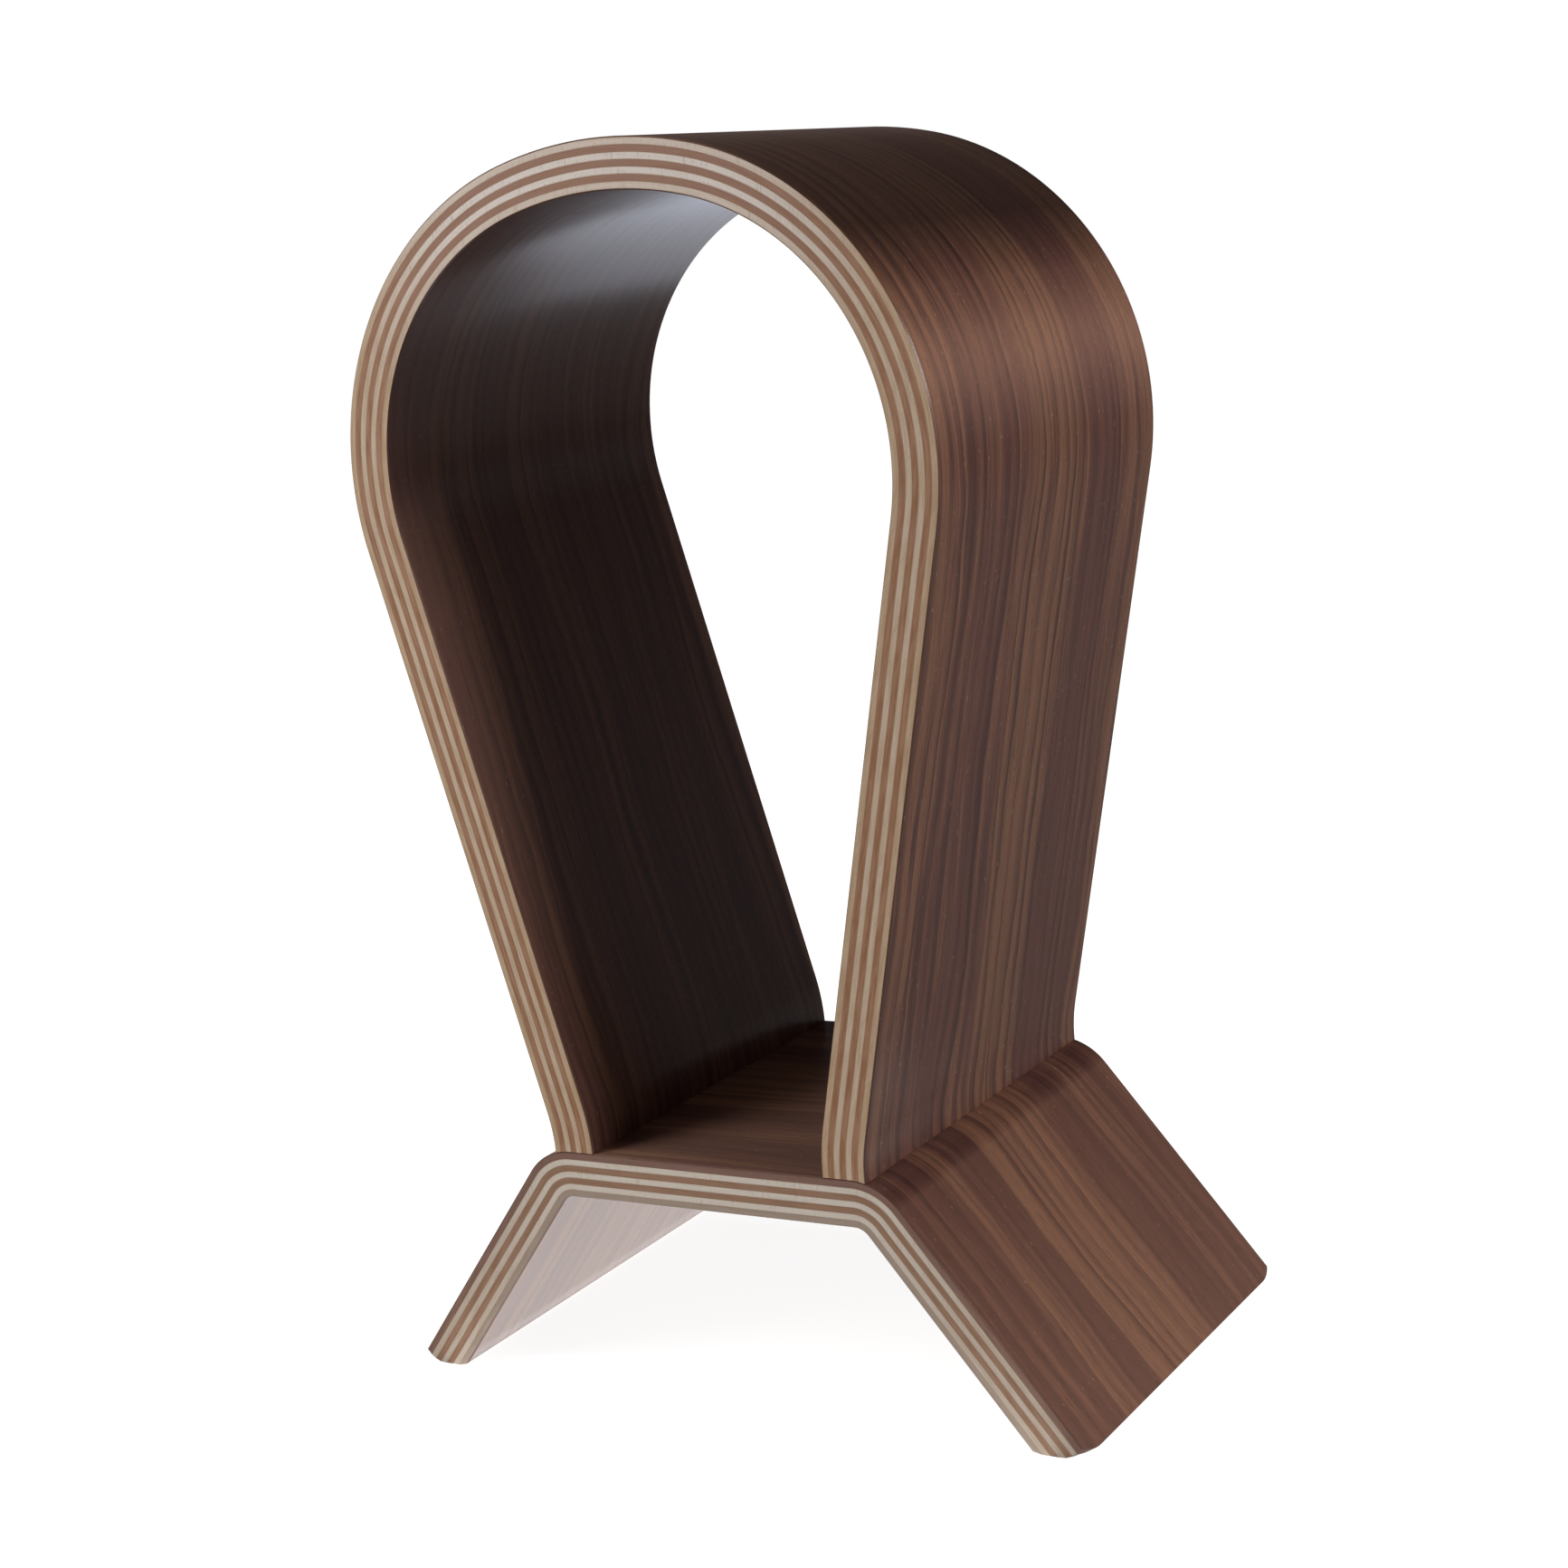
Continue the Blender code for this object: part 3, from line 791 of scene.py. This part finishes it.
def make_floor():
    """The table, with more of its own white the farther it lies from the stand."""
    bpy.ops.mesh.primitive_plane_add(size=FLOOR_SIZE, location=(0.0, 0.0, -FLOOR_DROP))
    floor = bpy.context.object
    floor.name = "floor"
    material = bpy.data.materials.new("white_table")
    material.use_nodes = True
    tree = material.node_tree
    shader = tree.nodes["Principled BSDF"]
    place = add_node(tree, "ShaderNodeTexCoord").outputs["Object"]
    from_stand = add_node(tree, "ShaderNodeVectorMath", {0: place}, operation="LENGTH").outputs["Value"]
    far = soft_step(tree, from_stand, PANEL_CORE, PANEL_SIZE)
    seen = add_node(tree, "ShaderNodeLightPath").outputs
    straight = maths(tree, "MULTIPLY_ADD", far, FAR_SEEN - FLOOR_SEEN, FLOOR_SEEN)
    straight = maths(tree, "MULTIPLY", seen["Is Camera Ray"], straight)
    mirrored = maths(tree, "MAXIMUM", seen["Is Glossy Ray"], seen["Is Transmission Ray"])
    mirrored = maths(tree, "MULTIPLY", mirrored, maths(tree, "SUBTRACT", 1.0, far))
    shader.inputs["Base Color"].default_value = FLOOR_WHITE
    shader.inputs["Roughness"].default_value = FLOOR_ROUGHNESS
    shader.inputs["Specular IOR Level"].default_value = 0.0
    shader.inputs["Emission Color"].default_value = WHITE
    tree.links.new(maths(tree, "ADD", straight, mirrored), shader.inputs["Emission Strength"])
    floor.data.materials.append(material)


make_floor()

# Studio light
# One soft box on the right, with a flag before it that keeps the crown dark, a smaller box at the front
# left for the edges, two panels in the table and a dim room, paler at the horizon and the front. A colour
# comes out about as it is written.
AIM = (0.0, 0.0, 0.14)
UPWARDS = Vector((0.0, 0.0, 1.0 * MM))
PANEL_PLACE = Vector((0.0, 0.0, -FLOOR_DROP / 2))
PANEL_LEVEL = 1.0
BACK_PLACE = Vector((-0.36, 0.69, -FLOOR_DROP / 2))
BACK_SIZE = 0.70
BACK_LEVEL = 2.2
BACK_COLOUR = (0.80, 0.86, 1.0)
KEY_PLACE = (1.17, -0.07, 0.60)
KEY_SIZE = 0.36
KEY_LEVEL = 0.95
FILL_PLACE = (-0.44, -0.46, 0.42)
FILL_SIZE = 0.35
FILL_LEVEL = 0.5
FLAG_SIZE = 0.60
FLAG_LOWER_EDGE = 0.265
FLAG_PLACE = (0.11, 0.0, FLAG_LOWER_EDGE + FLAG_SIZE / 2)
FLAG_BLACK = (0.01, 0.01, 0.01, 1.0)
FLAG_DENSITY = 0.87
ROOM_HORIZON = (0.16, 0.17, 0.19, 1.0)
ROOM_ABOVE = (0.045, 0.04, 0.04, 1.0)
ROOM_FRONT = (0.72, 0.72, 0.72, 1.0)
HORIZON_FADE = (0.0, 0.3)
FRONT_WAY = Vector((-0.52, -0.74, 0.43))
FRONT_FADE = (0.3, 0.9)


def make_panel(name, place, aim, size, level, colour=(1.0, 1.0, 1.0)):
    """A square area lamp turned to a point, of a power that lights a white card there to a level."""
    reach = Vector(aim) - Vector(place)
    lamp = bpy.data.lights.new(name, "AREA")
    lamp.shape = "SQUARE"
    lamp.size = size
    lamp.color = colour
    lamp.energy = level * math.pi * max(size ** 2, math.pi * reach.length_squared)
    panel = bpy.data.objects.new(name, lamp)
    bpy.context.scene.collection.objects.link(panel)
    panel.location = place
    panel.rotation_mode = "QUATERNION"
    panel.rotation_quaternion = reach.to_track_quat("-Z", "Y")
    panel.visible_camera = False


def make_flag():
    """A flag of dark net that keeps most of the key off the crown; it is not in the picture."""
    bpy.ops.mesh.primitive_plane_add(size=FLAG_SIZE, location=FLAG_PLACE, rotation=(0.0, math.pi / 2, 0.0))
    flag = bpy.context.object
    flag.name = "flag"
    material = bpy.data.materials.new("dark_net")
    material.use_nodes = True
    shader = material.node_tree.nodes["Principled BSDF"]
    shader.inputs["Base Color"].default_value = FLAG_BLACK
    shader.inputs["Roughness"].default_value = 1.0
    shader.inputs["Specular IOR Level"].default_value = 0.0
    shader.inputs["Alpha"].default_value = FLAG_DENSITY
    flag.data.materials.append(material)
    flag.visible_camera = False
    flag.visible_glossy = False


def make_room():
    """A dim room, paler at the horizon and the front, and white where the camera looks straight at it."""
    world = bpy.data.worlds.new("studio")
    bpy.context.scene.world = world
    world.use_nodes = True
    tree = world.node_tree
    background = tree.nodes["Background"]
    seen = add_node(tree, "ShaderNodeLightPath").outputs
    direct = maths(tree, "MAXIMUM", seen["Is Camera Ray"], seen["Is Transmission Ray"])
    way = add_node(tree, "ShaderNodeTexCoord").outputs["Generated"]
    height = add_node(tree, "ShaderNodeSeparateXYZ", {0: way}).outputs["Z"]
    facing = add_node(tree, "ShaderNodeVectorMath", {0: way, 1: FRONT_WAY}, operation="DOT_PRODUCT")
    room = mixed(tree, soft_step(tree, height, *HORIZON_FADE), ROOM_HORIZON, ROOM_ABOVE)
    room = mixed(tree, soft_step(tree, facing.outputs["Value"], *FRONT_FADE), room, ROOM_FRONT)
    tree.links.new(mixed(tree, direct, room, WHITE), background.inputs["Color"])


make_panel("light_panel", PANEL_PLACE, PANEL_PLACE + UPWARDS, PANEL_SIZE, PANEL_LEVEL)
make_panel("back_panel", BACK_PLACE, BACK_PLACE + UPWARDS, BACK_SIZE, BACK_LEVEL, BACK_COLOUR)
make_panel("key", KEY_PLACE, AIM, KEY_SIZE, KEY_LEVEL)
make_panel("fill", FILL_PLACE, AIM, FILL_SIZE, FILL_LEVEL)
make_flag()
make_room()

# Camera
# In front and to the right of the stand, a little below its crown, looking slightly down and rolled
# a few degrees, as worked out from the outlines of the hoop and the bridge.
AZIMUTH = math.radians(32.03)
ELEVATION = math.radians(11.03)
ROLL = math.radians(-5.97)
DISTANCE = 638.9 * MM
VIEW_CENTRE = Vector((-2.17 * MM, 0.0, 132.0 * MM))
SENSOR = 36.0
IMAGE_WIDTH = 1733
FOCAL_PIXELS = 3035.4

level_reach = math.cos(ELEVATION)
back = Vector((math.sin(AZIMUTH) * level_reach, -math.cos(AZIMUTH) * level_reach, math.sin(ELEVATION)))
level_right = Vector((math.cos(AZIMUTH), math.sin(AZIMUTH), 0.0))
level_up = back.cross(level_right)
right = level_right * math.cos(ROLL) + level_up * math.sin(ROLL)
up = level_up * math.cos(ROLL) - level_right * math.sin(ROLL)
camera_data = bpy.data.cameras.new("camera")
camera_data.sensor_width = SENSOR
camera_data.lens = SENSOR * FOCAL_PIXELS / IMAGE_WIDTH
camera = bpy.data.objects.new("camera", camera_data)
bpy.context.scene.collection.objects.link(camera)
turned = Matrix((right, up, back)).transposed().to_4x4()
camera.matrix_world = Matrix.Translation(VIEW_CENTRE + back * DISTANCE) @ turned
bpy.context.scene.camera = camera

bpy.context.scene.view_settings.view_transform = "Standard"
